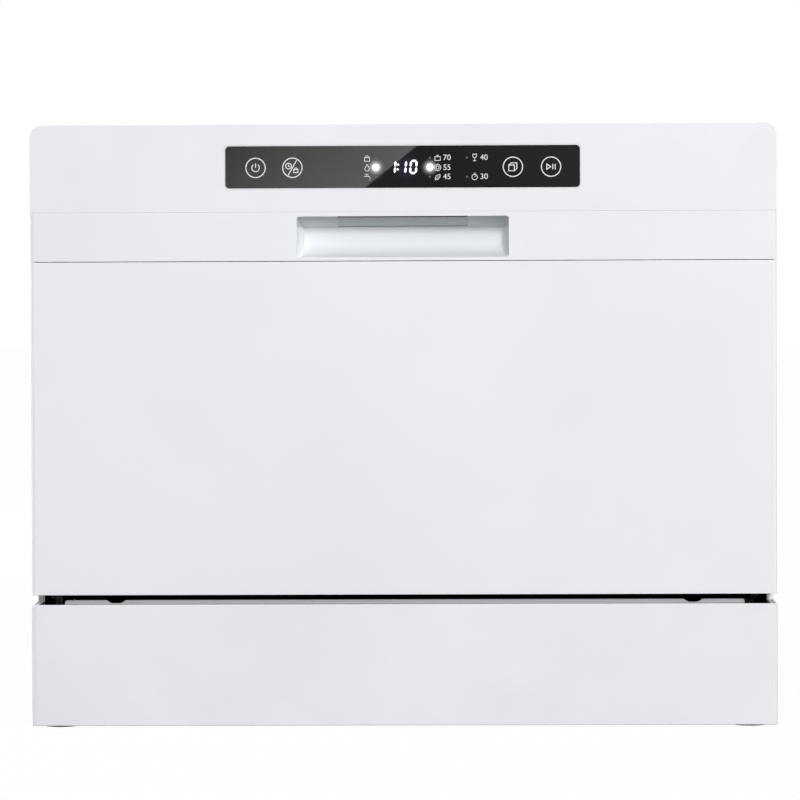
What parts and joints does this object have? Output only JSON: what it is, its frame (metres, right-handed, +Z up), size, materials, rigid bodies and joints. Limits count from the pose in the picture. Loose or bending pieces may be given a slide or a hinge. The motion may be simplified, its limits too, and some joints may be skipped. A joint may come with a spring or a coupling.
{
  "type": "countertop dishwasher",
  "caption": "Compact dishwasher for a worktop: a boxy white cabinet, a drop-down door with a finger scoop and a dark display strip, and a rolling dish basket in a steel tub.",
  "frame": {"origin": "on the floor under the middle of the body", "axes": "+X to the right seen from the front, +Y to the back, +Z up; the door faces -Y"},
  "size_m": [0.55, 0.5, 0.444],
  "materials": {
    "cabinet_paint": "white powder coat, satin",
    "front_plastic": "white moulding, satin",
    "door_paint": "white coated sheet, satin",
    "zinc_sheet": "zinc-coated sheet",
    "stainless": "brushed stainless steel",
    "hinge_steel": "zinc-plated steel",
    "spring_steel": "bright wire",
    "black_plastic": "black moulding",
    "grey_plastic": "grey moulding",
    "light_grey_plastic": "light grey moulding",
    "white_plastic": "natural white moulding",
    "window_gloss": "smoked gloss pane",
    "gasket_rubber": "grey rubber lip",
    "tube_rubber": "black rubber tube",
    "rack_wire": "grey nylon-coated wire",
    "board_green": "circuit board",
    "screw_steel": "zinc-plated screw"
  },
  "bodies": {
    "cabinet": {"base_tray": "black_plastic", "left_side_panel": "cabinet_paint", "right_side_panel": "cabinet_paint", "top_cover": "cabinet_paint", "back_panel": "zinc_sheet", "kick_plate": "front_plastic", "tub_wrap": "stainless", "tub_back": "stainless", "tub_floor": "stainless", "tub_gasket": "gasket_rubber", "sump": "grey_plastic", "filter_plate": "stainless", "wash_pump": "grey_plastic", "drain_pump": "black_plastic", "heater": "stainless", "inlet_valve": "white_plastic", "air_break": "white_plastic", "inlet_tube": "light_grey_plastic", "drain_tube": "tube_rubber", "cord_grommet": "black_plastic", "float_switch": "black_plastic", "latch_striker": "hinge_steel", "left_hinge_bracket": "hinge_steel", "right_hinge_bracket": "hinge_steel", "hinge_pins": "hinge_steel", "left_door_spring": "spring_steel", "right_door_spring": "spring_steel", "casing_screws": "screw_steel"},
    "door": {"door_outer_panel": "door_paint", "door_inner_liner": "stainless", "control_panel": "front_plastic", "handle_strip": "front_plastic", "display_window": "window_gloss", "control_board": "board_green", "lock_housing": "black_plastic", "dispenser_body": "light_grey_plastic", "left_hinge_arm": "hinge_steel", "right_hinge_arm": "hinge_steel", "door_screws": "screw_steel"},
    "dish_basket": {"basket_floor": "rack_wire", "basket_walls": "rack_wire", "plate_tines": "rack_wire"},
    "release_paddle": {"release_paddle": "front_plastic"},
    "latch_catch": {"latch_catch": "hinge_steel"},
    "dispenser_lid": {"dispenser_lid": "light_grey_plastic"},
    "rinse_aid_cap": {"rinse_aid_cap": "black_plastic"},
    "spray_arm": {"spray_arm": "light_grey_plastic"},
    "filter_cup": {"filter_cup": "light_grey_plastic"},
    "leak_float": {"leak_float": "white_plastic"},
    "impeller": {"wash_impeller": "black_plastic"},
    "cup_shelf": {"cup_shelf": "rack_wire"},
    "cutlery_basket": {"cutlery_basket": "grey_plastic"},
    "wheel_front_left": {"wheel_front_left": "grey_plastic"},
    "foot_front_left": {"foot_front_left": "black_plastic"},
    "wheel_front_right": {"wheel_front_right": "grey_plastic"},
    "foot_front_right": {"foot_front_right": "black_plastic"},
    "wheel_rear_left": {"wheel_rear_left": "grey_plastic"},
    "foot_rear_left": {"foot_rear_left": "black_plastic"},
    "wheel_rear_right": {"wheel_rear_right": "grey_plastic"},
    "foot_rear_right": {"foot_rear_right": "black_plastic"}
  },
  "joints": [
    {"name": "door_hinge", "type": "hinge", "parent": "cabinet", "child": "door", "pos_m": [0, -0.242, 0.107], "axis": [1, 0, 0], "range_deg": [0, 90], "deforming": ["left_door_spring", "right_door_spring"]},
    {"name": "basket_slide", "type": "slide", "parent": "cabinet", "child": "dish_basket", "axis": [0, -1, 0], "range_m": [0, 0.16]},
    {"name": "wheel_front_left_spin", "type": "hinge", "parent": "dish_basket", "child": "wheel_front_left", "pos_m": [-0.21, -0.084, 0.1564], "axis": [1, 0, 0], "continuous": true},
    {"name": "wheel_front_right_spin", "type": "hinge", "parent": "dish_basket", "child": "wheel_front_right", "pos_m": [0.21, -0.084, 0.1564], "axis": [1, 0, 0], "continuous": true},
    {"name": "wheel_rear_left_spin", "type": "hinge", "parent": "dish_basket", "child": "wheel_rear_left", "pos_m": [-0.21, 0.16, 0.1564], "axis": [1, 0, 0], "continuous": true},
    {"name": "wheel_rear_right_spin", "type": "hinge", "parent": "dish_basket", "child": "wheel_rear_right", "pos_m": [0.21, 0.16, 0.1564], "axis": [1, 0, 0], "continuous": true},
    {"name": "cup_shelf_fold", "type": "hinge", "parent": "dish_basket", "child": "cup_shelf", "pos_m": [-0.2128, -0.01, 0.252], "axis": [0, -1, 0], "range_deg": [0, 80]},
    {"name": "cutlery_basket_lift", "type": "slide", "parent": "dish_basket", "child": "cutlery_basket", "axis": [0, 0, 1], "range_m": [0, 0.09]},
    {"name": "spray_arm_spin", "type": "hinge", "parent": "cabinet", "child": "spray_arm", "pos_m": [0, 0.008, 0.154], "axis": [0, 0, 1], "continuous": true},
    {"name": "filter_cup_twist", "type": "hinge", "parent": "cabinet", "child": "filter_cup", "pos_m": [0, -0.092, 0.11], "axis": [0, 0, 1], "range_deg": [0, 60]},
    {"name": "leak_float_lift", "type": "slide", "parent": "cabinet", "child": "leak_float", "axis": [0, 0, 1], "range_m": [0, 0.006]},
    {"name": "release_paddle_pull", "type": "hinge", "parent": "door", "child": "release_paddle", "pos_m": [0, -0.244, 0.3811], "axis": [1, 0, 0], "range_deg": [0, 10], "stiffness_Nm_per_rad": 0.5, "springref_deg": -5.73},
    {"name": "latch_catch_turn", "type": "hinge", "parent": "door", "child": "latch_catch", "pos_m": [0, -0.232, 0.433], "axis": [1, 0, 0], "range_deg": [-15, 0], "stiffness_Nm_per_rad": 0.2, "springref_deg": 5.73},
    {"name": "dispenser_lid_slide", "type": "slide", "parent": "door", "child": "dispenser_lid", "axis": [-1, 0, 0], "range_m": [0, 0.06]},
    {"name": "rinse_aid_cap_twist", "type": "hinge", "parent": "door", "child": "rinse_aid_cap", "pos_m": [0.043, -0.2, 0.275], "axis": [0, -1, 0], "range_deg": [0, 90]},
    {"name": "impeller_spin", "type": "hinge", "parent": "cabinet", "child": "impeller", "pos_m": [0.08, -0.04, 0.076], "axis": [1, 0, 0], "continuous": true},
    {"name": "foot_front_left_screw", "type": "slide", "parent": "cabinet", "child": "foot_front_left", "axis": [0, 0, -1], "range_m": [0, 0.01]},
    {"name": "foot_front_right_screw", "type": "slide", "parent": "cabinet", "child": "foot_front_right", "axis": [0, 0, -1], "range_m": [0, 0.01]},
    {"name": "foot_rear_left_screw", "type": "slide", "parent": "cabinet", "child": "foot_rear_left", "axis": [0, 0, -1], "range_m": [0, 0.01]},
    {"name": "foot_rear_right_screw", "type": "slide", "parent": "cabinet", "child": "foot_rear_right", "axis": [0, 0, -1], "range_m": [0, 0.01]}
  ],
  "couplings": [
    {"joint": "basket_slide", "follows": "door_hinge", "m_per_rad": 0.1018},
    {"joint": "latch_catch_turn", "follows": "release_paddle_pull", "ratio": -1.45}
  ]
}
